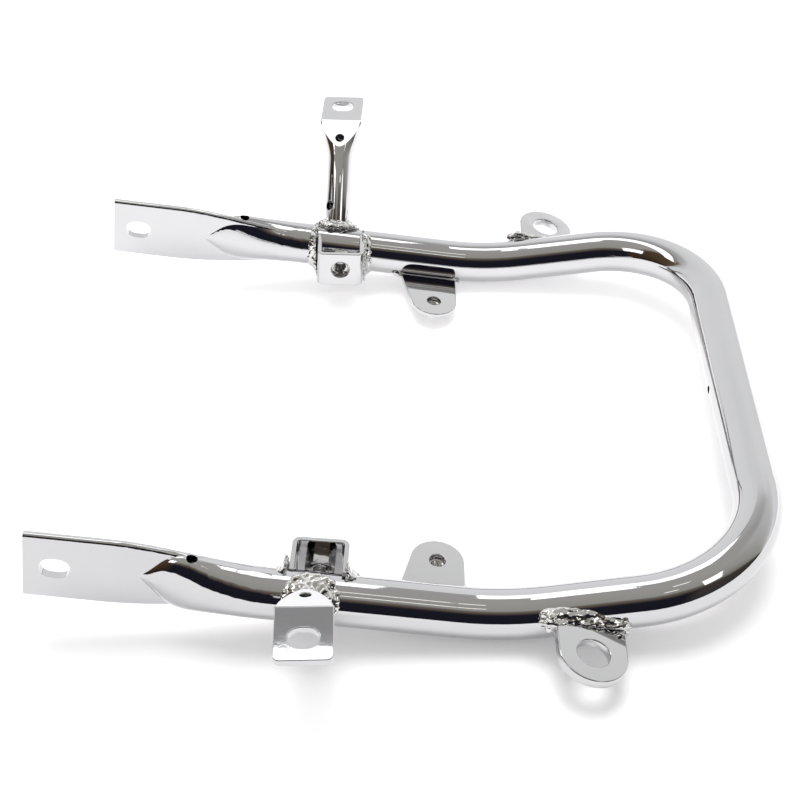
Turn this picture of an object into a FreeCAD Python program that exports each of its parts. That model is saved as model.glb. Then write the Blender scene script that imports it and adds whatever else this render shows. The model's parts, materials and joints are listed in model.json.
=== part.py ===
import FreeCAD, Part
import math
import os

import Sketcher
from FreeCAD import Placement, Rotation, Vector

# Rear grab bar of a small quad: one bent tube with pressed ends, two stays and welded brackets.
# Frame: +X to the rear, +Y to the vehicle's right, +Z up, origin under the middle of the box.
# Lengths are in millimetres and angles in degrees.

X_AXIS = Vector(1, 0, 0)
Y_AXIS = Vector(0, 1, 0)
Z_AXIS = Vector(0, 0, 1)

DRIVING_SIZES = {
    # main tube
    "overall_length": 376.0,
    "tube_dia": 25.4,
    "tube_wall": 2.0,
    "corner_spacing": 291.6,
    "leg_spacing": 297.0,
    "corner_radius": 66.5,
    "rear_run": 133.0,
    "rear_rise": 8.9,
    "front_rise": 7.8,
    "kink_radius": 160.0,
    # pressed front ends of the main tube
    "press_gap": 0.4,
    "blade_height": 39.2,
    "blade_inset": 4.2,
    "blade_lean": 3.5,
    "blade_flat": 40.0,
    "blade_nose": 56.0,
    "blade_full": 74.0,
    "blade_round": 118.0,
    "blade_slot_length": 15.2,
    "blade_slot_width": 12.0,
    "blade_slot_setback": 15.0,
    "blade_vent_setback": 79.6,
    "vent_dia": 5.6,
    "crossbar_vent_dia": 4.6,
    # stays with pressed and bent ends
    "stay_station": 223.8,
    "stay_toe": 2.0,
    "stay_dia": 15.9,
    "stay_wall": 1.6,
    "stay_rise": 43.5,
    "stay_reach": 58.5,
    "stay_ramp": 18.0,
    "stay_round": 26.0,
    "stay_tab_width": 25.7,
    "stay_tab_length": 29.4,
    "stay_tab_corner": 3.0,
    "stay_slot_length": 14.0,
    "stay_slot_width": 11.6,
    "stay_slot_setback": 12.3,
    "stay_vent_dia": 5.2,
    "stay_vent_setback": 12.0,
    "foot_vent_setback": 25.0,
    "foot_vent_turn": 40.0,
    # folded brackets with a captive nut
    "bracket_station": 221.4,
    "bracket_toe": 2.0,
    "bracket_pitch": 3.0,
    "bracket_reach": 27.4,
    "bracket_width": 28.2,
    "bracket_height": 23.0,
    "bracket_lift": 2.0,
    "bracket_plate": 2.5,
    "bracket_bend": 1.5,
    "bracket_wall_end": 5.0,
    "bracket_hole_dia": 11.4,
    "bracket_nut_flats": 12.8,
    "bracket_nut_height": 9.5,
    "bracket_nut_bore": 6.8,
    # fender tabs with a nut underneath
    "tab_station": 162.6,
    "tab_reach": 38.1,
    "tab_drop": 5.0,
    "tab_plate": 3.0,
    "tab_radius": 13.8,
    "tab_front_run": 24.0,
    "tab_hole_dia": 8.3,
    "tab_nut_flats": 11.0,
    "tab_nut_height": 4.6,
    "tab_nut_bore": 5.0,
    # thick lugs
    "lug_station": 90.2,
    "lug_reach": 31.0,
    "lug_lift": 2.2,
    "lug_tilt": 13.0,
    "lug_plate": 5.0,
    "lug_radius": 17.0,
    "lug_hole_dia": 16.2,
    # weld beads
    "stay_bead": 4.2,
    "bracket_bead": 3.0,
    "lug_bead": 5.0,
    "tab_bead": 3.4,
}

doc = FreeCAD.newDocument("grab_bar")
sheet = doc.addObject("Spreadsheet::Sheet", "Sizes")
for row, (alias, number) in enumerate(DRIVING_SIZES.items(), 1):
    sheet.set(f"A{row}", alias.replace("_", " "))
    sheet.set(f"B{row}", str(number))
    sheet.setAlias(f"B{row}", alias)
doc.recompute()


def size(alias):
    return float(sheet.get(alias))


def radians(alias):
    return math.radians(size(alias))


# Places along the main tube

tube_radius = size("tube_dia") / 2
cross_x = size("overall_length") / 2 - tube_radius
kink_x = cross_x - size("rear_run") * math.cos(radians("rear_rise"))
half_kink = (radians("rear_rise") + radians("front_rise")) / 2
kink_lean = (radians("rear_rise") - radians("front_rise")) / 2
kink_rise = size("kink_radius") * (math.cos(kink_lean) / math.cos(half_kink) - 1)
kink_z = tube_radius - kink_rise
cross_z = kink_z + size("rear_run") * math.sin(radians("rear_rise"))
leg_y = size("leg_spacing") / 2
corner_y = size("corner_spacing") / 2


def front_leg_point(station):
    """Axis of the front leg, this far ahead of the crossbar's axis."""
    x = cross_x - station
    return Vector(x, leg_y, kink_z + (kink_x - x) * math.tan(radians("front_rise")))


def rear_leg_point(station):
    """Axis of the rear leg, this far ahead of the crossbar's axis."""
    share = station / (cross_x - kink_x)
    corner = Vector(cross_x, corner_y, cross_z)
    return corner + (Vector(kink_x, leg_y, kink_z) - corner) * share


class PressedEnd:
    """Front end of a leg, pressed flat: its tip is at x = 0, its blade stands upright in Z, shifted
    inboard along -Y, and the tube's bulge starts as a nose on the blade."""

    NOSE_HEIGHT = 0.2
    STEPS = (0.08, 0.2, 0.35, 0.5, 0.62, 0.75, 0.88, 1)
    EDGE_ROUNDING = 0.85

    def __init__(self):
        self.radius = tube_radius
        self.wall = size("tube_wall")
        self.flat = size("blade_flat")
        self.nose = size("blade_nose")
        self.full = size("blade_full")
        self.round_at = size("blade_round")
        self.inset = size("blade_inset")
        self.half_height = size("blade_height") / 2
        self.half_thick = self.wall + size("press_gap") / 2

    def blade_edge(self, x):
        """Height of the blade's edge, which eases from the flat to the round tube."""
        share = min(max((x - self.flat) / (self.round_at - self.flat), 0), 1)
        ease = share * share * (3 - 2 * share)
        return self.half_height + (self.radius - self.half_height) * ease

    def section(self, x):
        """Lateral centre, half height and half thickness of the bulge at x."""
        pressed = ((self.round_at - x) / (self.round_at - self.nose)) ** 2
        narrowing = max(0, (self.full - x) / (self.full - self.nose))
        height = self.blade_edge(x) * (1 - (1 - self.NOSE_HEIGHT) * narrowing)
        thick = self.radius + (self.half_thick - self.radius) * pressed
        return -self.inset * pressed, height, thick

    def bulge(self, depth):
        """Loft from the round tube to the nose of the bulge, this deep under the surface."""
        round_section = Part.Circle(Vector(self.round_at, 0, 0), X_AXIS, self.radius - depth)
        round_section.XAxis = Z_AXIS
        wires = [Part.Wire(round_section.toShape())]
        for share in self.STEPS:
            x = self.round_at - share * (self.round_at - self.nose)
            side, height, thick = self.section(x)
            centre = Vector(x, side, 0)
            top = centre + Z_AXIS * (height - depth)
            edge = centre + Y_AXIS * (thick - depth)
            wires.append(Part.Wire(Part.Ellipse(top, edge, centre).toShape()))
        return Part.makeLoft(wires, True, False)

    def blade(self):
        """Flat plate whose upper and lower edges run into the round tube."""
        third = (self.round_at - self.flat) / 3
        merge = self.radius - self.wall / 2
        y = -self.inset - self.half_thick
        tip_top = Vector(0, y, self.half_height)
        tip_low = Vector(0, y, -self.half_height)
        edges = [Part.LineSegment(tip_low, tip_top).toShape()]
        for up in (1, -1):
            high = up * self.half_height
            low = up * merge
            taper = Part.BezierCurve()
            taper.setPoles([
                Vector(self.flat, y, high),
                Vector(self.flat + third, y, high),
                Vector(self.round_at - third, y, low),
                Vector(self.round_at, y, low),
            ])
            edges.append(Part.LineSegment(Vector(0, y, high), Vector(self.flat, y, high)).toShape())
            edges.append(taper.toShape())
        edges.append(Part.LineSegment(Vector(self.round_at, y, merge),
                                      Vector(self.round_at, y, -merge)).toShape())
        outline = Part.Face(Part.Wire(Part.__sortEdges__(edges)))
        plate = outline.extrude(Y_AXIS * (2 * self.half_thick))
        long_edges = [
            edge for edge in plate.Edges
            if edge.BoundBox.YLength < self.wall and edge.BoundBox.XLength > self.wall
        ]
        return plate.makeFillet(self.EDGE_ROUNDING * self.half_thick, long_edges)

    def solid(self):
        return self.bulge(0).fuse(self.blade()).removeSplitter()

    def hollow(self):
        return self.bulge(self.wall)

    def vent(self):
        """Drilled from the hollow out through the top."""
        x = size("blade_vent_setback")
        centre = Vector(x, self.section(x)[0], 0)
        return Part.makeCylinder(size("vent_dia") / 2, size("blade_height"), centre, Z_AXIS)

    def slot(self):
        centre = Vector(size("blade_slot_setback"), -self.inset, 0)
        return oblong(size("blade_slot_length"), size("blade_slot_width"), size("tube_dia"), centre,
                      X_AXIS, Y_AXIS)


def oblong(length, width, depth, centre, along, normal):
    """A slot's solid, with round ends, long along one direction and cut through another."""
    across = normal.cross(along)
    half_run = along * ((length - width) / 2)
    half_width = across * (width / 2)
    base = centre - normal * (depth / 2)
    edges = []
    for turn in (1, -1):
        end = base + half_run * turn
        start_point = end - half_width * turn
        end_point = end + half_width * turn
        tip = end + along * (turn * width / 2)
        edges.append(Part.Arc(start_point, tip, end_point).toShape())
        edges.append(Part.LineSegment(end_point, end_point - half_run * (2 * turn)).toShape())
    return Part.Face(Part.Wire(edges)).extrude(normal * depth)


def bent_wire(points, radii):
    """Straight runs joined by tangent arcs, with one radius for each inner point."""
    edges = []
    start = points[0]
    for before, corner, after, radius in zip(points, points[1:], points[2:], radii):
        back = (before - corner).normalize()
        ahead = (after - corner).normalize()
        half_turn = (math.pi - back.getAngle(ahead)) / 2
        setback = radius * math.tan(half_turn)
        middle = corner + (back + ahead).normalize() * (radius / math.cos(half_turn) - radius)
        enter = corner + back * setback
        leave = corner + ahead * setback
        edges.append(Part.LineSegment(start, enter).toShape())
        edges.append(Part.Arc(enter, middle, leave).toShape())
        start = leave
    edges.append(Part.LineSegment(start, points[-1]).toShape())
    return Part.Wire(edges)


def placed_in(frame, shape):
    placed = shape.copy()
    placed.Placement = frame.multiply(shape.Placement)
    return placed


def both_sides(frame, *shapes):
    """The shapes placed on the right-hand leg, and their mirror images on the left-hand one."""
    right = [placed_in(frame, shape) for shape in shapes]
    return right + [shape.mirror(Vector(), Y_AXIS) for shape in right]


# Main tube

main_end = PressedEnd()
leg_turn = Rotation(Y_AXIS, size("front_rise"))
end_turn = leg_turn.multiply(Rotation(X_AXIS, size("blade_lean")))
tip_drop = end_turn.multVec(Z_AXIS * main_end.half_height).x
tip_x = tip_drop - size("overall_length") / 2
leg_frame = Placement(front_leg_point(cross_x - tip_x), end_turn)


def main_tube_path():
    start = leg_frame.multVec(X_AXIS * size("blade_round"))
    right = [start, Vector(kink_x, leg_y, kink_z), Vector(cross_x, corner_y, cross_z)]
    left = [Vector(p.x, -p.y, p.z) for p in reversed(right)]
    radii = [size("kink_radius"), size("corner_radius")]
    return bent_wire(right + left, radii + radii[::-1])


def tube_along(path, depth):
    start = path.Edges[0].firstVertex().Point
    heading = path.Edges[0].tangentAt(path.Edges[0].FirstParameter)
    circle = Part.Circle(start, heading, tube_radius - depth)
    return path.makePipe(Part.Face(Part.Wire(circle.toShape())))


def main_tube_shapes():
    """The tube's outer form, and the same with its hollow, slots and vents cut."""
    path = main_tube_path()
    bore = tube_along(path, size("tube_wall"))
    outer = tube_along(path, 0)
    ends = both_sides(leg_frame, main_end.solid())
    end_cuts = both_sides(leg_frame, main_end.hollow(), main_end.slot(), main_end.vent())
    crossbar_vent = Part.makeCylinder(size("crossbar_vent_dia") / 2, tube_radius * 2,
                                      Vector(cross_x, 0, cross_z), -X_AXIS)
    envelope = outer.fuse(ends)
    tube = outer.cut(bore).fuse(ends).cut(end_cuts + [crossbar_vent])
    return envelope.removeSplitter(), tube.removeSplitter()


def add_feature(name, shape):
    feature = doc.addObject("Part::Feature", name)
    feature.Label = name
    feature.Shape = shape
    return feature


envelope_shape, tube_shape = main_tube_shapes()
tube_envelope = add_feature("tube_envelope", envelope_shape)
main_tube = add_feature("main_tube", tube_shape)

# Helpers for the pieces on the right-hand leg and their mirror images

nodes = {"main_tube": main_tube}


def add_primitive(kind, name, placement, **sizes):
    primitive = doc.addObject(kind, name)
    primitive.Placement = placement
    for prop, expression in sizes.items():
        primitive.setExpression(prop, expression)
    return primitive


def cut_from(name, base, *tools):
    result = base
    for number, tool in enumerate(tools):
        step = doc.addObject("Part::Cut", f"{name}_cut_{number}")
        step.Base = result
        step.Tool = tool
        result = step
    return result


def add_pair(name, right):
    """Names the right-hand piece and adds its mirror image on the left-hand leg."""
    right.Label = f"right_{name}"
    left = doc.addObject("Part::Mirroring", f"left_{name}")
    left.Source = right
    left.Base = Vector()
    left.Normal = Y_AXIS
    nodes[f"right_{name}"] = right
    nodes[f"left_{name}"] = left


def new_body(name, placement):
    body = doc.addObject("PartDesign::Body", name)
    body.Placement = placement
    return body


def new_sketch(body, name, role="XY_Plane"):
    sketch = body.newObject("Sketcher::SketchObject", name)
    plane = next(part for part in body.Origin.OriginFeatures if part.Role == role)
    sketch.AttachmentSupport = [(plane, "")]
    sketch.MapMode = "FlatFace"
    return sketch


def bind(sketch, kind, *geometry, to):
    """A dimension of the sketch that follows an expression of the sheet."""
    number = sketch.addConstraint(Sketcher.Constraint(kind, *geometry))
    sketch.setExpression(f"Constraints[{number}]", to)


def fix(sketch, *constraints):
    for kind, *geometry in constraints:
        sketch.addConstraint(Sketcher.Constraint(kind, *geometry))


def line(sketch, start, end):
    return sketch.addGeometry(Part.LineSegment(Vector(*start, 0), Vector(*end, 0)), False)


def pad(body, sketch, name, length, downwards=False):
    feature = body.newObject("PartDesign::Pad", name)
    feature.Profile = sketch
    feature.setExpression("Length", length)
    feature.Reversed = downwards
    return feature


def hex_nut(name, placement, flats, height, bore):
    """Six-sided nut standing on its own Z axis, with its bore through it."""
    prism = add_primitive("Part::Prism", f"{name}_prism", placement,
                          Circumradius=f"{flats} / 2 / cos(30 deg)", Height=height)
    prism.Polygon = 6
    hole = add_primitive("Part::Cylinder", f"{name}_bore", placement,
                         Radius=f"{bore} / 2", Height=height)
    return cut_from(name, prism, hole)


# Stays

stay_foot = front_leg_point(size("stay_station"))
stay_radius = size("stay_dia") / 2
stay_half_width = size("stay_tab_width") / 2
stay_half_thick = size("stay_wall") + size("press_gap") / 2
stay_climb = size("stay_reach") * math.tan(radians("stay_rise"))
stay_length = size("stay_reach") / math.cos(radians("stay_rise"))
stay_frame = Placement(stay_foot, Rotation(Z_AXIS, -size("stay_toe")))
stay_bend = Vector(0, size("stay_reach"), stay_climb)
stay_down = (-stay_bend).normalize()
ramp_frame = Placement(stay_bend, Rotation(stay_down, Vector(), X_AXIS, "XZY"))


def stay_sleeve(depth):
    """Loft that widens from the round shaft to the bend, this deep under the surface. The bend is at
    x = 0, the shaft runs along +X and the tab's width lies along Z."""
    round_at = size("stay_round")
    wires = []
    for share in (0, 0.15, 0.5, 0.85, 1):
        widening = share * share * (3 - 2 * share)
        half_width = stay_radius + (stay_half_width - stay_radius) * widening - depth
        section = Part.Circle(Vector(round_at * (1 - share), 0, 0), X_AXIS, stay_radius - depth)
        section.XAxis = Z_AXIS
        if share > 0:
            centre = section.Center
            section = Part.Ellipse(centre + Z_AXIS * half_width,
                                   centre + Y_AXIS * (stay_radius - depth), centre)
        wires.append(Part.Wire(section.toShape()))
    return Part.makeLoft(wires, True, False)


def stay_wedge(depth):
    """Space between the two faces of the press, which open from the tab to the round shaft."""
    thick = stay_half_thick - depth
    full = stay_radius
    outline = [Vector(0, thick), Vector(size("stay_ramp"), full - depth),
               Vector(size("stay_round"), full), Vector(size("stay_round"), -full),
               Vector(size("stay_ramp"), depth - full), Vector(0, -thick), Vector(0, thick)]
    base = Part.Face(Part.makePolygon(outline))
    base.translate(-Z_AXIS * stay_half_width)
    return base.extrude(Z_AXIS * size("stay_tab_width"))


def stay_tab():
    """Flat end of the stay, level, from the bend to the tip."""
    thick = 2 * stay_half_thick
    tip_y = stay_bend.y + size("stay_tab_length")
    corner = Vector(-stay_half_width, stay_bend.y, stay_bend.z - stay_half_thick)
    plate = Part.makeBox(size("stay_tab_width"), size("stay_tab_length"), thick, corner)
    tip_corners = [
        edge for edge in plate.Edges
        if edge.BoundBox.ZLength > edge.BoundBox.XLength and edge.BoundBox.YMin > tip_y - thick
    ]
    plate = plate.makeFillet(size("stay_tab_corner"), tip_corners)
    fold_start = Vector(-stay_half_width, stay_bend.y, stay_bend.z)
    fold = Part.makeCylinder(stay_half_thick, size("stay_tab_width"), fold_start, X_AXIS)
    return plate.fuse(fold)


def stay_shape():
    ramp = stay_sleeve(0).common(stay_wedge(0))
    ramp_hollow = stay_sleeve(size("stay_wall")).common(stay_wedge(size("stay_wall")))
    shaft_length = stay_length - size("stay_round")
    shaft_start = X_AXIS * size("stay_round")
    shaft = Part.makeCylinder(stay_radius, shaft_length, shaft_start, X_AXIS)
    bore = Part.makeCylinder(stay_radius - size("stay_wall"), shaft_length, shaft_start, X_AXIS)
    ramp_vent = Part.makeCylinder(size("stay_vent_dia") / 2, size("stay_dia"),
                                  X_AXIS * size("stay_vent_setback"), -Y_AXIS)
    foot_turn = Rotation(X_AXIS, size("foot_vent_turn"))
    foot_vent = Part.makeCylinder(size("vent_dia") / 2, size("stay_dia"),
                                  X_AXIS * (stay_length - size("foot_vent_setback")),
                                  foot_turn.multVec(-Y_AXIS))
    slot_centre = stay_bend + Y_AXIS * (size("stay_tab_length") - size("stay_slot_setback"))
    slot = oblong(size("stay_slot_length"), size("stay_slot_width"), size("stay_dia"), slot_centre,
                  X_AXIS, Z_AXIS)
    solid = placed_in(ramp_frame, ramp.fuse(shaft)).fuse(stay_tab())
    cuts = [placed_in(ramp_frame, cut) for cut in (ramp_hollow, bore, ramp_vent, foot_vent)]
    stay = placed_in(stay_frame, solid.cut(cuts + [slot]))
    return stay.cut(envelope_shape).removeSplitter()


right_stay = add_feature("right_stay", stay_shape())
add_pair("stay", right_stay)

stay_axis_turn = Rotation(Z_AXIS, stay_frame.Rotation.multVec(stay_bend))
stay_core = add_primitive("Part::Cylinder", "stay_core", Placement(stay_foot, stay_axis_turn),
                          Radius="Sizes.stay_dia / 2", Height="Sizes.stay_reach")
bead_lift = tube_radius + size("stay_bead") / 4
bead_centre = stay_foot + stay_frame.Rotation.multVec(-stay_down) * bead_lift
stay_ring = add_primitive("Part::Torus", "stay_ring", Placement(bead_centre, stay_axis_turn),
                          Radius1="Sizes.stay_dia / 2", Radius2="Sizes.stay_bead")
add_pair("stay_weld", cut_from("stay_weld", stay_ring, tube_envelope, stay_core))

# Folded nut brackets

bracket_axis = front_leg_point(size("bracket_station"))
bracket_turn = Rotation(Z_AXIS, size("bracket_toe")).multiply(Rotation(Y_AXIS, size("bracket_pitch")))
bracket_low = size("bracket_lift") - size("bracket_height") / 2
bracket_base = bracket_axis + bracket_turn.multVec(Vector(0, -size("bracket_reach"), bracket_low))
bracket_frame = Placement(bracket_base, bracket_turn)
bracket_run = "Sizes.bracket_reach - Sizes.bracket_wall_end"


def bracket_body():
    body = new_body("bracket_body", bracket_frame)
    sketch = new_sketch(body, "bracket_section")
    half = size("bracket_width") / 2
    run = size("bracket_reach") - size("bracket_wall_end")
    plate = size("bracket_plate")
    corners = [(-half, 0), (half, 0), (half, run), (half - plate, run), (half - plate, plate),
               (plate - half, plate), (plate - half, run), (-half, run)]
    for start, end in zip(corners, corners[1:] + corners[:1]):
        line(sketch, start, end)
    sides = len(corners)
    for side in range(sides):
        fix(sketch, ("Coincident", side, 2, (side + 1) % sides, 1))
    for side in range(2, sides, 2):
        fix(sketch, ("Horizontal", side))
    for side in range(1, sides, 2):
        fix(sketch, ("Vertical", side))
    fix(sketch, ("Symmetric", 0, 1, 0, 2, -2), ("PointOnObject", 0, 1, -1), ("Equal", 1, 7),
        ("Equal", 2, 6))
    bind(sketch, "DistanceX", 0, 1, 0, 2, half * 2, to="Sizes.bracket_width")
    bind(sketch, "DistanceY", 1, 1, 1, 2, run, to=bracket_run)
    bind(sketch, "DistanceX", 2, 2, 2, 1, plate, to="Sizes.bracket_plate")
    bind(sketch, "DistanceY", 0, 2, 4, 1, plate, to="Sizes.bracket_plate")
    channel = pad(body, sketch, "bracket_channel", "Sizes.bracket_height")
    doc.recompute()
    for name, depth, radius in (("outer_bend", 0, "Sizes.bracket_bend + Sizes.bracket_plate"),
                                ("inner_bend", plate, "Sizes.bracket_bend")):
        edges = [
            f"Edge{number}" for number, edge in enumerate(body.Tip.Shape.Edges, 1)
            if edge.BoundBox.ZLength > plate and abs(edge.CenterOfMass.y - depth) < plate / 10
            and abs(abs(edge.CenterOfMass.x) - (half - depth)) < plate / 10
        ]
        fold = body.newObject("PartDesign::Fillet", name)
        fold.Base = (channel, edges)
        fold.setExpression("Radius", radius)
        doc.recompute()
        channel = fold
    return body


hole_centre = Vector(0, 0, size("bracket_height") / 2)
hole_frame = bracket_frame.multiply(Placement(hole_centre, Rotation(X_AXIS, -90)))
bracket_hole = add_primitive("Part::Cylinder", "bracket_hole", hole_frame,
                             Radius="Sizes.bracket_hole_dia / 2", Height="Sizes.bracket_plate")
nut_seat = hole_frame.multiply(Placement(Z_AXIS * size("bracket_plate"), Rotation()))
right_bracket = cut_from("nut_bracket", bracket_body(), bracket_hole, tube_envelope)
add_pair("nut_bracket", right_bracket)
add_pair("bracket_nut", hex_nut("bracket_nut", nut_seat, "Sizes.bracket_nut_flats",
                                "Sizes.bracket_nut_height", "Sizes.bracket_nut_bore"))

block_frame = bracket_frame.multiply(Placement(Vector(-size("bracket_width") / 2, 0, 0), Rotation()))
bracket_block = add_primitive("Part::Box", "bracket_block", block_frame, Width=bracket_run,
                              Length="Sizes.bracket_width", Height="Sizes.bracket_height")
seam_low = (size("bracket_height") / 2 - size("bracket_lift")) / tube_radius
seam_start = -math.degrees(math.asin(min(seam_low, 1)))
seam_end = math.degrees(math.acos(size("bracket_wall_end") / tube_radius))
for name, ahead in (("front", -1), ("rear", 1)):
    wall_foot = Vector(ahead * size("bracket_width") / 2, size("bracket_reach"), 0)
    wall_point = bracket_frame.multVec(wall_foot)
    wall_axis = front_leg_point(cross_x - wall_point.x)
    seam_turn = Rotation(X_AXIS, -90 - seam_start).multiply(Rotation(-Z_AXIS, Vector(), -X_AXIS, "ZXY"))
    fillet = add_primitive("Part::Torus", f"bracket_bead_{name}", Placement(wall_axis, seam_turn),
                           Radius1="Sizes.tube_dia / 2", Radius2="Sizes.bracket_bead")
    fillet.Angle3 = seam_end - seam_start
    add_pair(f"bracket_weld_{name}",
             cut_from(f"bracket_weld_{name}", fillet, tube_envelope, bracket_block))

# Fender tabs

tab_axis = front_leg_point(size("tab_station"))
tab_hole = tab_axis + Vector(0, -size("tab_reach"), -size("tab_drop"))
tab_frame = Placement(tab_hole, leg_turn)


def tab_body():
    body = new_body("tab_body", tab_frame)
    sketch = new_sketch(body, "tab_outline")
    radius = size("tab_radius")
    front = size("tab_front_run")
    root = size("tab_reach")
    tangent = math.atan2(root, -front) + math.acos(radius / math.hypot(front, root))
    meet = (radius * math.cos(tangent), radius * math.sin(tangent))
    circle = Part.Circle(Vector(), Z_AXIS, radius)
    sketch.addGeometry(Part.ArcOfCircle(circle, tangent, 2 * math.pi), False)
    line(sketch, (radius, 0), (radius, root))
    line(sketch, (radius, root), (-front, root))
    line(sketch, (-front, root), meet)
    sketch.addGeometry(Part.Circle(Vector(), Z_AXIS, size("tab_hole_dia") / 2), False)
    fix(sketch, ("Coincident", 0, 3, -1, 1), ("Coincident", 4, 3, -1, 1), ("Coincident", 1, 2, 2, 1),
        ("Coincident", 2, 2, 3, 1), ("Vertical", 1), ("Horizontal", 2),
        ("Tangent", 0, 2, 1, 1), ("Tangent", 3, 2, 0, 1))
    bind(sketch, "Radius", 0, radius, to="Sizes.tab_radius")
    bind(sketch, "Diameter", 4, size("tab_hole_dia"), to="Sizes.tab_hole_dia")
    bind(sketch, "DistanceY", -1, 1, 2, 2, root, to="Sizes.tab_reach")
    bind(sketch, "DistanceX", 2, 2, -1, 1, front, to="Sizes.tab_front_run")
    pad(body, sketch, "tab_plate", "Sizes.tab_plate", downwards=True)
    return body


right_tab = cut_from("fender_tab", tab_body(), tube_envelope)
add_pair("fender_tab", right_tab)
nut_drop = Vector(0, 0, -size("tab_plate") - size("tab_nut_height"))
add_pair("tab_nut", hex_nut("tab_nut", tab_frame.multiply(Placement(nut_drop, Rotation())),
                            "Sizes.tab_nut_flats", "Sizes.tab_nut_height", "Sizes.tab_nut_bore"))

tab_low = size("tab_drop") + size("tab_plate") / 2
tab_root = size("tab_reach") - math.sqrt(tube_radius ** 2 - tab_low ** 2)
for name, end_x in (("front", -size("tab_front_run")), ("rear", size("tab_radius"))):
    blob_centre = tab_frame.multVec(Vector(end_x, tab_root, -size("tab_plate") / 2))
    blob = add_primitive("Part::Ellipsoid", f"tab_bead_{name}", Placement(blob_centre, leg_turn),
                         Radius1="Sizes.tab_plate", Radius2="Sizes.tab_bead", Radius3="Sizes.tab_bead")
    add_pair(f"tab_weld_{name}", cut_from(f"tab_weld_{name}", blob, tube_envelope, right_tab))

# Lugs

lug_axis = rear_leg_point(size("lug_station"))
lug_hole = lug_axis + Vector(0, size("lug_reach"), size("lug_lift"))
lug_frame = Placement(lug_hole, Rotation(Y_AXIS, size("lug_tilt")))


def lug_body():
    body = new_body("lug_body", lug_frame)
    sketch = new_sketch(body, "lug_outline")
    radius = size("lug_radius")
    root = -size("lug_reach")
    circle = Part.Circle(Vector(), Z_AXIS, radius)
    sketch.addGeometry(Part.ArcOfCircle(circle, 0, math.pi), False)
    line(sketch, (-radius, 0), (-radius, root))
    line(sketch, (-radius, root), (radius, root))
    line(sketch, (radius, root), (radius, 0))
    sketch.addGeometry(Part.Circle(Vector(), Z_AXIS, size("lug_hole_dia") / 2), False)
    fix(sketch, ("Coincident", 0, 3, -1, 1), ("Coincident", 4, 3, -1, 1), ("Coincident", 1, 2, 2, 1),
        ("Coincident", 2, 2, 3, 1), ("Vertical", 1), ("Vertical", 3), ("Horizontal", 2),
        ("Tangent", 0, 2, 1, 1), ("Tangent", 3, 2, 0, 1))
    bind(sketch, "Radius", 0, radius, to="Sizes.lug_radius")
    bind(sketch, "Diameter", 4, size("lug_hole_dia"), to="Sizes.lug_hole_dia")
    bind(sketch, "DistanceY", 2, 1, -1, 1, -root, to="Sizes.lug_reach")
    pad(body, sketch, "lug_plate", "Sizes.lug_plate", downwards=True)
    return body


right_lug = cut_from("lug", lug_body(), tube_envelope)
add_pair("lug", right_lug)


def lug_seam_point(along):
    """Where the lug's upper face meets the tube's side, this far behind the hole."""
    face = lug_frame.multVec(Vector(along, 0, 0))
    axis = rear_leg_point(cross_x - face.x)
    height = (face.z - axis.z) * math.cos(radians("rear_rise"))
    return Vector(face.x, axis.y + math.sqrt(tube_radius ** 2 - height ** 2), face.z)


seam_front = lug_seam_point(-size("lug_radius"))
seam_rear = lug_seam_point(size("lug_radius"))
seam = seam_rear - seam_front
seam_frame = Placement((seam_front + seam_rear) / 2, Rotation(X_AXIS, seam))
seam_bead = add_primitive("Part::Ellipsoid", "lug_seam", seam_frame, Radius1="Sizes.lug_bead",
                          Radius2="Sizes.lug_radius + Sizes.lug_bead", Radius3="Sizes.lug_bead")
add_pair("lug_weld", cut_from("lug_weld", seam_bead, tube_envelope, right_lug))

# Every object is sound before any file is written

doc.recompute()
for item in doc.Objects:
    if "Invalid" in item.State or "Error" in item.State:
        raise RuntimeError(f"{item.Label} did not recompute: {item.State}")
for name, node in nodes.items():
    if node.Shape.isNull() or not node.Shape.isValid():
        raise RuntimeError(f"{name} has no valid shape")
    if len(node.Shape.Solids) != 1:
        raise RuntimeError(f"{name} has {len(node.Shape.Solids)} solids")

os.makedirs("parts", exist_ok=True)
for name, node in nodes.items():
    node.Shape.exportStep(f"parts/{name}.step")
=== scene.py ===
"""A chromed rear grab bar on a white studio floor."""

import json
import math
import random

import bmesh
import bpy
from mathutils import Matrix, Vector, noise


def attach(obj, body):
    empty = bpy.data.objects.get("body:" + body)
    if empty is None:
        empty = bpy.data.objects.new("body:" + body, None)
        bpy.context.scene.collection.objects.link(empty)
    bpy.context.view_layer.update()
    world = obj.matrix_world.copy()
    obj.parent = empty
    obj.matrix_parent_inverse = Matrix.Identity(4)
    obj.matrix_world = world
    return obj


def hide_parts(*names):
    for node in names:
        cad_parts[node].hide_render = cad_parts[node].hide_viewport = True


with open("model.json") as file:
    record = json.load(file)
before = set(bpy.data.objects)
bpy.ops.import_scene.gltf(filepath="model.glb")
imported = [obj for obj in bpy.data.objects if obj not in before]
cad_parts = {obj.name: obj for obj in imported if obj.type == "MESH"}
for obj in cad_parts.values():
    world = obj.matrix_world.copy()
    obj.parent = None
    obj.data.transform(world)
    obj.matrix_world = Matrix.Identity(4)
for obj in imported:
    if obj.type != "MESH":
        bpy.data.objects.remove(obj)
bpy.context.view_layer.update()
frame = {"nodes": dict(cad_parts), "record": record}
nodes = frame["nodes"]
record = frame["record"]
SIDES = {"left": -1, "right": 1}

# Camera, at the photograph's place
CAMERA_PLACE = Vector((-0.00139, -0.65399, 0.57375))
CAMERA_RIGHT = Vector((0.99996, 0.00893, 0.0)).normalized()
CAMERA_FORWARD = Vector((-0.00683, 0.76494, -0.64407)).normalized()
CAMERA_LENS = 69.3
CAMERA_SENSOR = 36.0
CAMERA_CLIP = (0.01, 100)


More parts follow.
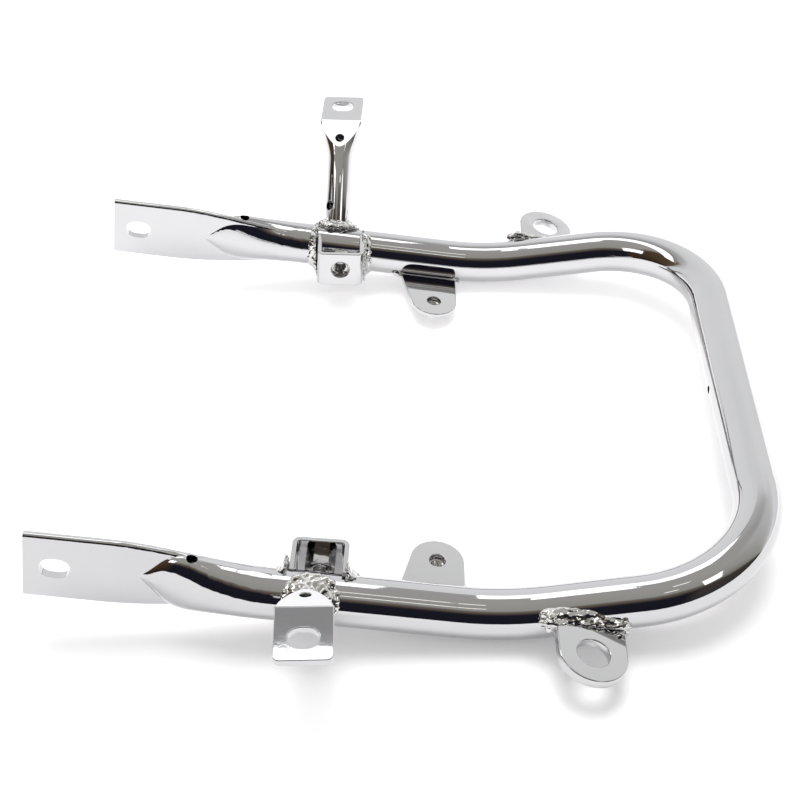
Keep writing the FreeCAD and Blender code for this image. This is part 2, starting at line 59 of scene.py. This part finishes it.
def make_camera():
    data = bpy.data.cameras.new("camera")
    data.lens = CAMERA_LENS
    data.sensor_width = CAMERA_SENSOR
    data.clip_start, data.clip_end = CAMERA_CLIP
    camera = bpy.data.objects.new("camera", data)
    up = CAMERA_RIGHT.cross(CAMERA_FORWARD)
    turn = Matrix((CAMERA_RIGHT, up, -CAMERA_FORWARD)).transposed()
    camera.matrix_world = Matrix.Translation(CAMERA_PLACE) @ turn.to_4x4()
    bpy.context.scene.collection.objects.link(camera)
    bpy.context.scene.camera = camera


# Node helpers
def new_material(name):
    material = bpy.data.materials.new(name)
    material.use_nodes = True
    tree = material.node_tree
    return material, tree, tree.nodes["Principled BSDF"]


def add_node(tree, kind, **settings):
    node = tree.nodes.new(kind)
    for key, value in settings.items():
        setattr(node, key, value)
    return node


def ramp_of(tree, fac, stops):
    """A colour ramp with the given (place, colour) stops."""
    ramp = add_node(tree, "ShaderNodeValToRGB")
    elements = ramp.color_ramp.elements
    while len(elements) < len(stops):
        elements.new(0.5)
    for element, (place, colour) in zip(elements, stops):
        element.position = place
        element.color = (*colour, 1)
    tree.links.new(fac, ramp.inputs["Fac"])
    return ramp.outputs["Color"]


def noise_of(tree, coordinates, scale, detail, roughness):
    texture = add_node(tree, "ShaderNodeTexNoise")
    texture.inputs["Scale"].default_value = scale
    texture.inputs["Detail"].default_value = detail
    texture.inputs["Roughness"].default_value = roughness
    tree.links.new(coordinates, texture.inputs["Vector"])
    return texture.outputs["Fac"]


def range_of(tree, value, start, end, **settings):
    """A value mapped from one range to 0 and 1."""
    node = add_node(tree, "ShaderNodeMapRange", **settings)
    node.inputs["From Min"].default_value = start
    node.inputs["From Max"].default_value = end
    tree.links.new(value, node.inputs["Value"])
    return node


# Studio
# The sky's stops are angles in degrees, from the near horizon over the zenith to the far horizon.
SKY = [
    (-90, (0.014, 0.014, 0.022)),
    (-52, (0.016, 0.016, 0.026)),
    (-44, (0.13, 0.10, 0.08)),
    (-37, (0.22, 0.20, 0.17)),
    (-32, (0.46, 0.45, 0.41)),
    (0, (0.52, 0.51, 0.48)),
    (30, (0.52, 0.515, 0.49)),
    (40, (0.66, 0.66, 0.65)),
    (45, (1.00, 1.00, 1.00)),
    (52, (1.08, 1.08, 1.08)),
    (78, (1.12, 1.12, 1.13)),
    (90, (1.02, 1.02, 1.05)),
]
RIGHT_SKY = [
    (-90, (0.05, 0.045, 0.045)),
    (-45, (0.07, 0.06, 0.05)),
    (-34, (0.34, 0.32, 0.29)),
    (-15, (0.48, 0.47, 0.44)),
    (0, (0.52, 0.51, 0.48)),
    (42, (0.80, 0.80, 0.80)),
    (60, (1.08, 1.08, 1.09)),
    (90, (1.02, 1.02, 1.05)),
]
LEFT_SKY = [
    (-90, (0.030, 0.022, 0.018)),
    (-30, (0.09, 0.055, 0.030)),
    (20, (0.12, 0.08, 0.05)),
    (36, (0.17, 0.13, 0.10)),
    (42, (0.80, 0.80, 0.79)),
    (50, (1.06, 1.06, 1.06)),
    (90, (1.04, 1.04, 1.06)),
]
# Where each side's sky starts and is full, as the X of a direction
RIGHT_FROM = 0.40
RIGHT_TO = 0.62
LEFT_FROM = -0.64
LEFT_TO = -0.76
AMBIENT = 0.80
WHITE = (1.0, 1.0, 1.0)

# The floor glows a little, and more towards the back: painted light on the floor, which lifts its shadows
# most at the back
FLOOR_GLOW = (0.14, 0.46)
FLOOR_GLOW_Y = (-0.22, 0.20)
FLOOR_COLOUR = (0.868, 0.86, 0.865)
FLOOR_ROUGHNESS = 0.9
FLOOR_SPAN = 6.0
FLOOR_DROP = 0.0003

KEY_POWER = 2.0
KEY_PLACE = Vector((-0.10, 0.95, 2.6))
KEY_SPREAD = math.radians(38)

# Panels, each between two angles in degrees above the far horizon
SOFTBOX_STRENGTH = 2.4
SOFTBOX_X = (-1.9, 0.305)
SOFTBOX_ANGLES = (50.4, 63.0)
RIM_STRENGTH = 0.42
RIM_ANGLES = (46.0, 50.4)
STRIP_STRENGTH = 1.9
STRIP_COLOUR = (1.0, 1.0, 0.97)
STRIP_X = (0.26, 0.46)
STRIP_TOP_ANGLES = (93.6, 96.0)
STRIP_NEAR_ANGLES = (112.0, 114.2)
PANEL_EYE = (-0.20, 0.06)
PANEL_DISTANCE = 1.6
PANEL_CORNERS = ((-1, -1), (1, -1), (1, 1), (-1, 1))

# Windows, each with its centre, half its width and half its height
WINDOWS = {
    "window_right": (
        Vector((1.03, -0.77, 1.23)),
        Vector((0.124, 0.111, -0.034)),
        Vector((0.108, -0.163, -0.142)),
    ),
    "window_left": (
        Vector((-0.97, -0.49, 0.99)),
        Vector((-0.163, 0.170, -0.085)),
        Vector((-0.055, -0.125, -0.145)),
    ),
    "window_top": (
        Vector((-0.160, 0.420, 1.660)),
        Vector((0.075, 0.0, 0.0)),
        Vector((0.0, 0.120, -0.020)),
    ),
}


def sky_of(tree, angle, stops):
    return ramp_of(tree, angle, [((degrees + 180) / 360, colour) for degrees, colour in stops])


def make_world():
    """White all round, but the chrome mirrors a darker room behind the camera."""
    world = bpy.data.worlds.new("studio")
    bpy.context.scene.world = world
    world.use_nodes = True
    tree = world.node_tree
    ambient = tree.nodes["Background"]
    ambient.inputs["Color"].default_value = (*WHITE, 1)
    ambient.inputs["Strength"].default_value = AMBIENT
    coordinates = add_node(tree, "ShaderNodeTexCoord")
    parts = add_node(tree, "ShaderNodeSeparateXYZ")
    tree.links.new(coordinates.outputs["Generated"], parts.inputs[0])
    angle = add_node(tree, "ShaderNodeMath", operation="ARCTAN2")
    tree.links.new(parts.outputs["Y"], angle.inputs[0])
    tree.links.new(parts.outputs["Z"], angle.inputs[1])
    place = range_of(tree, angle.outputs[0], -math.pi, math.pi).outputs["Result"]
    colour = sky_of(tree, place, SKY)
    side_skies = ((RIGHT_FROM, RIGHT_TO, RIGHT_SKY), (LEFT_FROM, LEFT_TO, LEFT_SKY))
    for start, end, stops in side_skies:
        side = range_of(tree, parts.outputs["X"], start, end, interpolation_type="SMOOTHSTEP")
        both = add_node(tree, "ShaderNodeMix", data_type="RGBA")
        tree.links.new(side.outputs["Result"], both.inputs["Factor"])
        tree.links.new(colour, both.inputs["A"])
        tree.links.new(sky_of(tree, place, stops), both.inputs["B"])
        colour = both.outputs["Result"]
    room = add_node(tree, "ShaderNodeBackground")
    tree.links.new(colour, room.inputs["Color"])
    path = add_node(tree, "ShaderNodeLightPath")
    either = add_node(tree, "ShaderNodeMixShader")
    tree.links.new(path.outputs["Is Glossy Ray"], either.inputs["Fac"])
    tree.links.new(ambient.outputs[0], either.inputs[1])
    tree.links.new(room.outputs[0], either.inputs[2])
    tree.links.new(either.outputs[0], tree.nodes["World Output"].inputs["Surface"])


def flat_panel(name, corners, material):
    mesh = bpy.data.meshes.new(name)
    mesh.from_pydata(corners, [], [tuple(range(len(corners)))])
    panel = bpy.data.objects.new(name, mesh)
    bpy.context.scene.collection.objects.link(panel)
    mesh.materials.append(material)
    return panel


def wide_panel(name, x_range, angles, material):
    """A panel between two angles above the far horizon, as the near leg sees it."""
    left, right = x_range
    low, high = angles
    corners = []
    for x, degrees in ((left, low), (right, low), (right, high), (left, high)):
        turn = math.radians(degrees)
        reach = Vector((0, math.cos(turn), math.sin(turn))) * PANEL_DISTANCE
        corners.append(Vector((x, *PANEL_EYE)) + reach)
    return flat_panel(name, corners, material)


def glow(name, colour, strength):
    material = bpy.data.materials.new(name)
    material.use_nodes = True
    tree = material.node_tree
    tree.nodes.clear()
    emission = add_node(tree, "ShaderNodeEmission")
    emission.inputs["Color"].default_value = (*colour, 1)
    emission.inputs["Strength"].default_value = strength
    output = add_node(tree, "ShaderNodeOutputMaterial")
    tree.links.new(emission.outputs[0], output.inputs["Surface"])
    return material


def make_floor():
    material, tree, shader = new_material("floor")
    shader.inputs["Base Color"].default_value = (*FLOOR_COLOUR, 1)
    shader.inputs["Roughness"].default_value = FLOOR_ROUGHNESS
    shader.inputs["Specular IOR Level"].default_value = 0.0
    shader.inputs["Emission Color"].default_value = (*FLOOR_COLOUR, 1)
    coordinates = add_node(tree, "ShaderNodeTexCoord")
    parts = add_node(tree, "ShaderNodeSeparateXYZ")
    tree.links.new(coordinates.outputs["Object"], parts.inputs[0])
    # Painted light: the floor's own glow, rising from front to back
    painted_back_glow = range_of(tree, parts.outputs["Y"], *FLOOR_GLOW_Y, interpolation_type="SMOOTHSTEP")
    painted_back_glow.inputs["To Min"].default_value = FLOOR_GLOW[0]
    painted_back_glow.inputs["To Max"].default_value = FLOOR_GLOW[1]
    tree.links.new(painted_back_glow.outputs["Result"], shader.inputs["Emission Strength"])
    corners = [(across * FLOOR_SPAN, back * FLOOR_SPAN, -FLOOR_DROP) for across, back in PANEL_CORNERS]
    flat_panel("floor", corners, material)


def make_panels():
    """A wide softbox behind the bar, its grey rim, two strips and windows, seen only in the chrome."""
    white = glow("softbox_glow", WHITE, SOFTBOX_STRENGTH)
    rim = glow("rim_glow", WHITE, RIM_STRENGTH)
    strip = glow("strip_glow", STRIP_COLOUR, STRIP_STRENGTH)
    panels = [
        wide_panel("softbox", SOFTBOX_X, SOFTBOX_ANGLES, white),
        wide_panel("softbox_rim", SOFTBOX_X, RIM_ANGLES, rim),
        wide_panel("strip_top", STRIP_X, STRIP_TOP_ANGLES, strip),
        wide_panel("strip_near", STRIP_X, STRIP_NEAR_ANGLES, strip),
    ]
    for name, (place, wide, tall) in WINDOWS.items():
        corners = [place + wide * across + tall * up for across, up in PANEL_CORNERS]
        panels.append(flat_panel(name, corners, white))
    for panel in panels:
        panel.visible_camera = False
        panel.visible_diffuse = False
        panel.visible_shadow = False


def make_key():
    data = bpy.data.lights.new("key", "SUN")
    data.angle = KEY_SPREAD
    data.energy = KEY_POWER
    key = bpy.data.objects.new("key", data)
    key.location = KEY_PLACE
    key.rotation_euler = KEY_PLACE.to_track_quat("Z", "X").to_euler()
    key.visible_glossy = False
    bpy.context.scene.collection.objects.link(key)


def make_studio():
    make_world()
    make_floor()
    make_panels()
    make_key()
    view = bpy.context.scene.view_settings
    view.view_transform = "Standard"
    view.look = "None"
    view.exposure = 0.0
    view.gamma = 1.0


# Materials
# Noise as (scale, detail, roughness); waves and grain as (strength, scale)
HAZE_NOISE = (38.0, 4.0, 0.6)
HAZE_RANGE = (0.3, 0.7)
HAZE_TINT = 0.97
PATCH_NOISE = (120.0, 5.0, 0.65)
PATCH_RANGE = (0.3, 0.75)
WAVE_NOISE = (2.0, 0.4)
WAVE_DEPTH = 0.001
GRAIN_NOISE = (3.0, 0.5)
GRAIN_DEPTH = 0.0002


def bump_of(tree, height, strength, depth):
    bump = add_node(tree, "ShaderNodeBump")
    bump.inputs["Strength"].default_value = strength
    bump.inputs["Distance"].default_value = depth
    tree.links.new(height, bump.inputs["Height"])
    return bump


def chrome(name, colour, gloss, wave, grain):
    """Bright plating: a mirror that is a little wavy, with faint hazy patches."""
    material, tree, shader = new_material(name)
    coordinates = add_node(tree, "ShaderNodeTexCoord").outputs["Object"]
    haze = noise_of(tree, coordinates, *HAZE_NOISE)
    hazy = tuple(channel * HAZE_TINT for channel in colour)
    tint = ramp_of(tree, haze, list(zip(HAZE_RANGE, (hazy, colour))))
    tree.links.new(tint, shader.inputs["Base Color"])
    shader.inputs["Metallic"].default_value = 1.0
    patch = noise_of(tree, coordinates, *PATCH_NOISE)
    roughness = range_of(tree, patch, *PATCH_RANGE)
    roughness.inputs["To Min"].default_value = gloss[0]
    roughness.inputs["To Max"].default_value = gloss[1]
    tree.links.new(roughness.outputs["Result"], shader.inputs["Roughness"])
    wave_strength, wave_scale = wave
    slow = bump_of(tree, noise_of(tree, coordinates, wave_scale, *WAVE_NOISE), wave_strength, WAVE_DEPTH)
    grain_strength, grain_scale = grain
    fine = bump_of(tree, noise_of(tree, coordinates, grain_scale, *GRAIN_NOISE), grain_strength, GRAIN_DEPTH)
    tree.links.new(slow.outputs["Normal"], fine.inputs["Normal"])
    tree.links.new(fine.outputs["Normal"], shader.inputs["Normal"])
    return material


# Colour, smooth and dull roughness, waves, grain
PLATING = {
    "tube_chrome": ((0.565, 0.565, 0.575), (0.02, 0.06), (0.05, 55.0), (0.02, 900.0)),
    "plate_chrome": ((0.575, 0.575, 0.582), (0.03, 0.08), (0.02, 60.0), (0.015, 800.0)),
    "nut_chrome": ((0.52, 0.51, 0.50), (0.08, 0.16), (0.10, 300.0), (0.05, 1500.0)),
    "weld_chrome": ((0.66, 0.66, 0.65), (0.03, 0.12), (0.18, 320.0), (0.05, 1400.0)),
}
materials = {name: chrome(name, *plating) for name, plating in PLATING.items()}
slot_of = {part["node"]: part["material_slot"] for part in record["subparts"]}


def dress(piece, slot):
    piece.data.materials.clear()
    piece.data.materials.append(materials[slot])


# Places on the bar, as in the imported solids
MM = 0.001
TUBE_RADIUS = 12.7 * MM
LEG_Y = 148.5 * MM
KINK = Vector((43.9, 148.5, 10.99)) * MM
FRONT_SLOPE = math.tan(math.radians(7.8))
LEG_AXIS = Vector((1, 0, -FRONT_SLOPE)).normalized()
STAY_X = -48.5 * MM
STAY_AXIS = Vector((0.0253, 0.7249, 0.6884)).normalized()
STAY_RADIUS = 7.95 * MM
BRACKET_WALLS = {"front": -60.6 * MM, "rear": -31.4 * MM}
LUG_SEAM = (Vector((67.0, 159.8, 22.6)) * MM, Vector((101.0, 158.2, 18.8)) * MM)
TAB_ENDS = {"front": Vector((-9.8, 138.4, 11.6)) * MM, "rear": Vector((26.6, 138.2, 6.3)) * MM}


def mirrored(point, side):
    return Vector((point.x, side * point.y, point.z))


def leg_point(x):
    """Axis of the right-hand front leg."""
    return Vector((x, LEG_Y, KINK.z + (KINK.x - x) * FRONT_SLOPE))


def away_of(end):
    """Sense along X in which an end's weld lies outside its piece."""
    return -1 if end == "front" else 1


# Weld beads
VOXEL = 0.5 * MM
TAB_VOXEL = 0.35 * MM
DROP_DETAIL = 2
DROP_SQUASH = (0.85, 1.1)
SOFTEN_STEPS = 2
# Share and scale of each layer of lumps on a bead
LUMPS = ((1.0, 1.0), (0.6, 2.3), (0.35, 4.7))


def unit_sphere():
    ball = bmesh.new()
    bmesh.ops.create_icosphere(ball, subdivisions=DROP_DETAIL, radius=1.0)
    points = [vertex.co.copy() for vertex in ball.verts]
    faces = [tuple(vertex.index for vertex in face.verts) for face in ball.faces]
    ball.free()
    return points, faces


SPHERE_POINTS, SPHERE_FACES = unit_sphere()


class Bead:
    """A weld bead: overlapping drops of metal, run together and crumpled by noise."""

    def __init__(self, side, seed):
        self.side = side
        self.spread = random.Random(seed).uniform
        self.points = []
        self.faces = []

    def drop(self, centre, radius, along, stretch):
        place = mirrored(centre, self.side)
        turn = mirrored(along, self.side).to_track_quat("X", "Z").to_matrix()
        across = radius * self.spread(*DROP_SQUASH)
        tall = radius * self.spread(*DROP_SQUASH)
        shape = turn @ Matrix.Diagonal((radius * stretch, across, tall))
        first = len(self.points)
        self.points.extend(place + shape @ point for point in SPHERE_POINTS)
        self.faces.extend(tuple(first + corner for corner in face) for face in SPHERE_FACES)

    def jitter(self, size):
        return Vector([self.spread(-size, size) for _ in range(3)])

    def finish(self, name, node, rough, rough_scale, voxel=VOXEL):
        raw = bpy.data.meshes.new(name)
        raw.from_pydata(self.points, [], self.faces)
        piece = bpy.data.objects.new(name, raw)
        bpy.context.scene.collection.objects.link(piece)
        remesh = piece.modifiers.new("join", "REMESH")
        remesh.mode = "VOXEL"
        remesh.voxel_size = voxel
        soften = piece.modifiers.new("soften", "SMOOTH")
        soften.iterations = SOFTEN_STEPS
        graph = bpy.context.evaluated_depsgraph_get()
        joined = bpy.data.meshes.new_from_object(piece.evaluated_get(graph))
        piece.modifiers.clear()
        piece.data = joined
        shifts = []
        for vertex in joined.vertices:
            place = vertex.co * rough_scale
            lump = sum(share * noise.noise(place * scale) for share, scale in LUMPS)
            shifts.append(vertex.normal * (lump * rough))
        for vertex, shift in zip(joined.vertices, shifts):
            vertex.co += shift
        joined.shade_smooth()
        dress(piece, "weld_chrome")
        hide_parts(node)
        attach(piece, "root")


# Stay bead, with each drop's reach from the shaft, climb up it and radius in mm
STAY_STEPS = 34
STAY_DROPS = ((0.8, 0.2, 2.9), (2.4, 0.2, 2.0), (0.3, 2.2, 2.0), (-0.3, 3.6, 1.3))
STAY_STEP_JITTER = 0.3
STAY_SIZES = (0.75, 1.2)
STAY_SADDLE = 0.9
STAY_ROUGH = (0.16 * MM, 340.0)
PLACE_SPREAD = (0.7, 1.25)
DROP_STRETCH = (0.8, 1.3)
DROP_JITTER = 0.4 * MM


def stay_weld(side, label, seed):
    """A messy ring where the stay's foot meets the leg, climbing up the shaft."""
    bead = Bead(side, seed)
    foot = leg_point(STAY_X)
    ahead = (LEG_AXIS - STAY_AXIS * LEG_AXIS.dot(STAY_AXIS)).normalized()
    aside = STAY_AXIS.cross(ahead)
    rise = STAY_AXIS - LEG_AXIS * STAY_AXIS.dot(LEG_AXIS)
    steep = rise.dot(rise)
    for step in range(STAY_STEPS):
        shaken = step + bead.spread(-STAY_STEP_JITTER, STAY_STEP_JITTER)
        turn = 2 * math.pi * shaken / STAY_STEPS
        outward = ahead * math.cos(turn) + aside * math.sin(turn)
        start = outward * STAY_RADIUS
        flat = start - LEG_AXIS * start.dot(LEG_AXIS)
        half = flat.dot(rise)
        inside = half ** 2 - steep * (flat.dot(flat) - TUBE_RADIUS ** 2)
        lift = (math.sqrt(inside) - half) / steep
        seam = foot + start + STAY_AXIS * lift
        along = STAY_AXIS.cross(outward)
        saddle = 1.0 + STAY_SADDLE * abs(math.cos(turn))
        for reach, climb, radius in STAY_DROPS:
            size = radius * bead.spread(*STAY_SIZES) * MM
            centre = seam + outward * (reach * saddle * MM)
            centre += STAY_AXIS * (climb * bead.spread(*PLACE_SPREAD) * MM)
            centre = centre + bead.jitter(DROP_JITTER)
            bead.drop(centre, size, along, bead.spread(*DROP_STRETCH))
    bead.finish(f"{label}_stay_bead", f"{label}_stay_weld", *STAY_ROUGH)


# Bracket beads, with each drop's reach from the tube, place beside the wall and radius in mm
BRACKET_STEPS = 26
BRACKET_DROPS = (
    (0.2, 0.9, 2.4),
    (0.2, 2.4, 1.7),
    (2.2, 0.5, 1.5),
    (-0.5, 3.8, 1.2),
    (4.2, 0.3, 1.0),
    (6.2, 0.2, 0.7),
)
BRACKET_SIZES = (0.7, 1.2)
BRACKET_FROM = -56
BRACKET_SPAN = 128
BRACKET_STEP_JITTER = 2
BRACKET_ROUGH = (0.26 * MM, 520.0)


def bracket_weld(side, label, end, seed):
    """A ragged fillet down the outside of the bracket's wall."""
    bead = Bead(side, seed)
    away = away_of(end)
    axis = leg_point(BRACKET_WALLS[end])
    for step in range(BRACKET_STEPS):
        degrees = BRACKET_FROM + BRACKET_SPAN * step / (BRACKET_STEPS - 1)
        turn = math.radians(degrees + bead.spread(-BRACKET_STEP_JITTER, BRACKET_STEP_JITTER))
        outward = Vector((0, -math.cos(turn), math.sin(turn)))
        along = Vector((0, math.sin(turn), math.cos(turn)))
        for reach, beside, radius in BRACKET_DROPS:
            size = radius * bead.spread(*BRACKET_SIZES) * MM
            centre = axis + outward * (TUBE_RADIUS + reach * MM)
            centre.x += away * beside * bead.spread(*PLACE_SPREAD) * MM
            centre = centre + bead.jitter(DROP_JITTER)
            bead.drop(centre, size, along, bead.spread(*DROP_STRETCH))
    bead.finish(f"{label}_bracket_bead_{end}", f"{label}_bracket_weld_{end}", *BRACKET_ROUGH)


# Lug bead, with each drop's place beside the seam, lift over it and radius in mm
LUG_STEPS = 40
LUG_DROPS = (
    (0.2, 0.2, 2.8),
    (-0.6, 2.0, 2.2),
    (2.8, -0.2, 1.6),
    (-1.4, 3.4, 1.3),
    (-0.2, -5.6, 2.0),
)
LUG_SIZES = (0.65, 1.2)
LUG_PLACES = (0.8, 1.2)
LUG_STRETCH = (1.6, 3.6)
LUG_JITTER = 0.5 * MM
LUG_HEAVY = 0.15
LUG_HEAVY_AT = 0.04
LUG_HEAVY_WIDTH = 0.16
LUG_TAPER = 0.15
LUG_ROUGH = (0.28 * MM, 430.0)
# Lumps down each end of the lug's root
LUG_END_LUMPS = 9
LUG_END_SWELL = {"front": 2.6, "rear": 2.0}
LUG_END_OUT = 1.2 * MM
LUG_END_BESIDE = (-1.5, 3.4)
LUG_END_TOP = 2.0
LUG_END_FALL = 8.6
LUG_END_SIZES = (0.7, 1.15)
LUG_END_STRETCH = (0.8, 1.2)
LUG_END_JITTER = 0.7 * MM
# Drip behind the lug
DRIP_DROPS = 5
DRIP_OUT = 2.5 * MM
DRIP_STEP = 1.1
DRIP_FALL = -0.3
DRIP_RADIUS = 1.6
DRIP_TAPER = 0.22
DRIP_STRETCH = 1.3


def lug_weld(side, label, seed):
    """A heavy bead along the lug's root, with a thick front end and a drip behind."""
    bead = Bead(side, seed)
    front, rear = LUG_SEAM
    along = (rear - front).normalized()
    for step in range(LUG_STEPS):
        share = step / (LUG_STEPS - 1)
        seam = front.lerp(rear, share)
        swell = math.exp(-((share - LUG_HEAVY_AT) / LUG_HEAVY_WIDTH) ** 2)
        heavy = 1.0 + LUG_HEAVY * swell - LUG_TAPER * share
        for beside, lift, radius in LUG_DROPS:
            size = radius * heavy * bead.spread(*LUG_SIZES) * MM
            centre = seam + Vector((0, beside, lift)) * (bead.spread(*LUG_PLACES) * MM)
            centre = centre + bead.jitter(LUG_JITTER)
            bead.drop(centre, size, along, bead.spread(*LUG_STRETCH))
    for end, place in zip(LUG_END_SWELL, LUG_SEAM):
        outside = place + along * away_of(end) * LUG_END_OUT
        for step in range(LUG_END_LUMPS):
            centre = outside + Vector((0, bead.spread(*LUG_END_BESIDE) * MM, 0))
            centre.z += (LUG_END_TOP - LUG_END_FALL * step / (LUG_END_LUMPS - 1)) * MM
            size = LUG_END_SWELL[end] * bead.spread(*LUG_END_SIZES) * MM
            centre = centre + bead.jitter(LUG_END_JITTER)
            bead.drop(centre, size, along, bead.spread(*LUG_END_STRETCH))
    drip = rear + along * DRIP_OUT
    for step in range(DRIP_DROPS):
        centre = drip + along * (step * DRIP_STEP * MM) + Vector((0, 0, DRIP_FALL * step)) * MM
        bead.drop(centre, (DRIP_RADIUS - DRIP_TAPER * step) * MM, along, DRIP_STRETCH)
    bead.finish(f"{label}_lug_bead", f"{label}_lug_weld", *LUG_ROUGH)


# Tab beads, with the range of their lumps' places and radii in mm
TAB_LUMPS = 10
TAB_REACH = (-2.6, 2.4)
TAB_BESIDE = (-2.8, 0.6)
TAB_LIFT = (-1.5, 1.3)
TAB_SIZES = (1.0, 1.9)
TAB_STRETCH = (0.9, 1.4)
TAB_ROUGH = (0.30 * MM, 700.0)


def tab_weld(side, label, end, seed):
    """A small lump at one end of the tab's root."""
    bead = Bead(side, seed)
    for _ in range(TAB_LUMPS):
        reach = away_of(end) * bead.spread(*TAB_REACH)
        beside = bead.spread(*TAB_BESIDE)
        lift = bead.spread(*TAB_LIFT)
        place = TAB_ENDS[end] + Vector((reach, beside, lift)) * MM
        size = bead.spread(*TAB_SIZES) * MM
        bead.drop(place, size, LEG_AXIS, bead.spread(*TAB_STRETCH))
    bead.finish(f"{label}_tab_bead_{end}", f"{label}_tab_weld_{end}", *TAB_ROUGH, TAB_VOXEL)


# Nuts, with their mount, width over flats, height and thread pitch in mm
NUTS = {
    "bracket_nut": ("bracket_thread", 12.8, 9.5, 1.25),
    "tab_nut": ("tab_thread", 11.0, 4.6, 1.0),
}
NUT_TURNS = 72
NUT_CONE = 0.97
NUT_CHAMFER = 1.9
NUT_EDGE_STEPS = [0.0, 0.15, 0.3, 0.45, 0.6, 0.8, 1.0, 1.3]
NUT_SHARP = math.radians(32)
HEX_TURN = 2 * math.pi / 6
THREAD_STEPS = 8
THREAD_STEEP = 1.6
THREAD_CREST = 0.2
THREAD_DEPTH = 0.5
THREAD_LEAD = 0.75
mounts = {mount["name"]: mount for mount in record["mounts"]}


def nut_outside(turn, z, flats, height):
    """Radius of the hexagon, with its corners chamfered at both faces."""
    local = turn % HEX_TURN - HEX_TURN / 2
    flat_reach = flats / 2 / math.cos(local)
    return min(flat_reach, flats / 2 * NUT_CONE + NUT_CHAMFER * min(z, height - z))


def nut_inside(turn, z, bore, height, pitch):
    """Radius of the threaded bore, with a lead at both faces."""
    phase = (z / pitch - turn / (2 * math.pi)) % 1.0
    groove = min(1.0, max(0.0, THREAD_STEEP * (1 - abs(2 * phase - 1)) - THREAD_CREST))
    lead = max(0.0, THREAD_LEAD - min(z, height - z))
    return bore + groove * pitch * THREAD_DEPTH + lead


def hex_nut(label, name, mount_name, flats, height, pitch):
    """A nut with chamfered corners and a cut thread, on the axis of its mount."""
    mount = mounts[f"{label}_{mount_name}"]
    bore = mount["dims"]["r_mm"]
    turns = [2 * math.pi * k / NUT_TURNS for k in range(NUT_TURNS)]
    outer_z = NUT_EDGE_STEPS + [height / 2] + [height - z for z in reversed(NUT_EDGE_STEPS)]
    inner_steps = int(height / pitch * THREAD_STEPS)
    inner_z = [height * (1 - step / inner_steps) for step in range(inner_steps + 1)]
    rings = [(z, [nut_outside(turn, z, flats, height) for turn in turns]) for z in outer_z]
    rings += [(z, [nut_inside(turn, z, bore, height, pitch) for turn in turns]) for z in inner_z]
    vertices = []
    for z, radii in rings:
        for turn, radius in zip(turns, radii):
            point = Vector((radius * math.cos(turn), radius * math.sin(turn), z - height / 2))
            vertices.append(point * MM)
    faces = []
    for row in range(len(rings)):
        this = row * NUT_TURNS
        after = (row + 1) % len(rings) * NUT_TURNS
        for k in range(NUT_TURNS):
            other = (k + 1) % NUT_TURNS
            faces.append((this + k, this + other, after + other, after + k))
    mesh = bpy.data.meshes.new(f"{label}_{name}_threaded")
    mesh.from_pydata(vertices, [], faces)
    axis = Vector(mount["axis"])
    ahead = (LEG_AXIS - axis * LEG_AXIS.dot(axis)).normalized()
    turn = Matrix((ahead, axis.cross(ahead), axis)).transposed().to_4x4()
    mesh.transform(Matrix.Translation(Vector(mount["pos_m"])) @ turn)
    mesh.update()
    piece = bpy.data.objects.new(mesh.name, mesh)
    bpy.context.scene.collection.objects.link(piece)
    mesh.shade_smooth()
    mesh.set_sharp_from_angle(angle=NUT_SHARP)
    dress(piece, "nut_chrome")
    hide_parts(f"{label}_{name}")
    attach(piece, "root")


# Seeds of the beads' random draws, the left side's first
STAY_SEED = 11
BRACKET_SEED = 31
LUG_SEED = 51
TAB_SEED = 71


def make_pieces():
    for number, (label, side) in enumerate(SIDES.items()):
        stay_weld(side, label, STAY_SEED + number)
        for end in BRACKET_WALLS:
            bracket_weld(side, label, end, BRACKET_SEED + 2 * number + (end == "rear"))
        lug_weld(side, label, LUG_SEED + number)
        for end in TAB_ENDS:
            tab_weld(side, label, end, TAB_SEED + 2 * number + (end == "rear"))
        for name, nut in NUTS.items():
            hex_nut(label, name, *nut)


# Broken edges of the plates and stays
EDGE_ROUND = {"stay": 0.45 * MM, "nut_bracket": 0.5 * MM, "fender_tab": 0.5 * MM, "lug": 0.6 * MM}
EDGE_JOIN = 0.01 * MM
EDGE_FLAT = math.radians(0.05)
EDGE_ANGLE = math.radians(62)
EDGE_SEGMENTS = 3


def round_edges(node, width):
    """Breaks a plate's sharp edges, so that they catch the light."""
    join = node.modifiers.new("join", "WELD")
    join.merge_threshold = EDGE_JOIN
    merge = node.modifiers.new("flats", "DECIMATE")
    merge.decimate_type = "DISSOLVE"
    merge.angle_limit = EDGE_FLAT
    bevel = node.modifiers.new("edges", "BEVEL")
    bevel.width = width
    bevel.segments = EDGE_SEGMENTS
    bevel.limit_method = "ANGLE"
    bevel.angle_limit = EDGE_ANGLE
    bevel.use_clamp_overlap = False
    bevel.harden_normals = True


make_camera()
make_studio()
for name, node in nodes.items():
    dress(node, slot_of[name])
for label in SIDES:
    for name, width in EDGE_ROUND.items():
        round_edges(nodes[f"{label}_{name}"], width)
make_pieces()
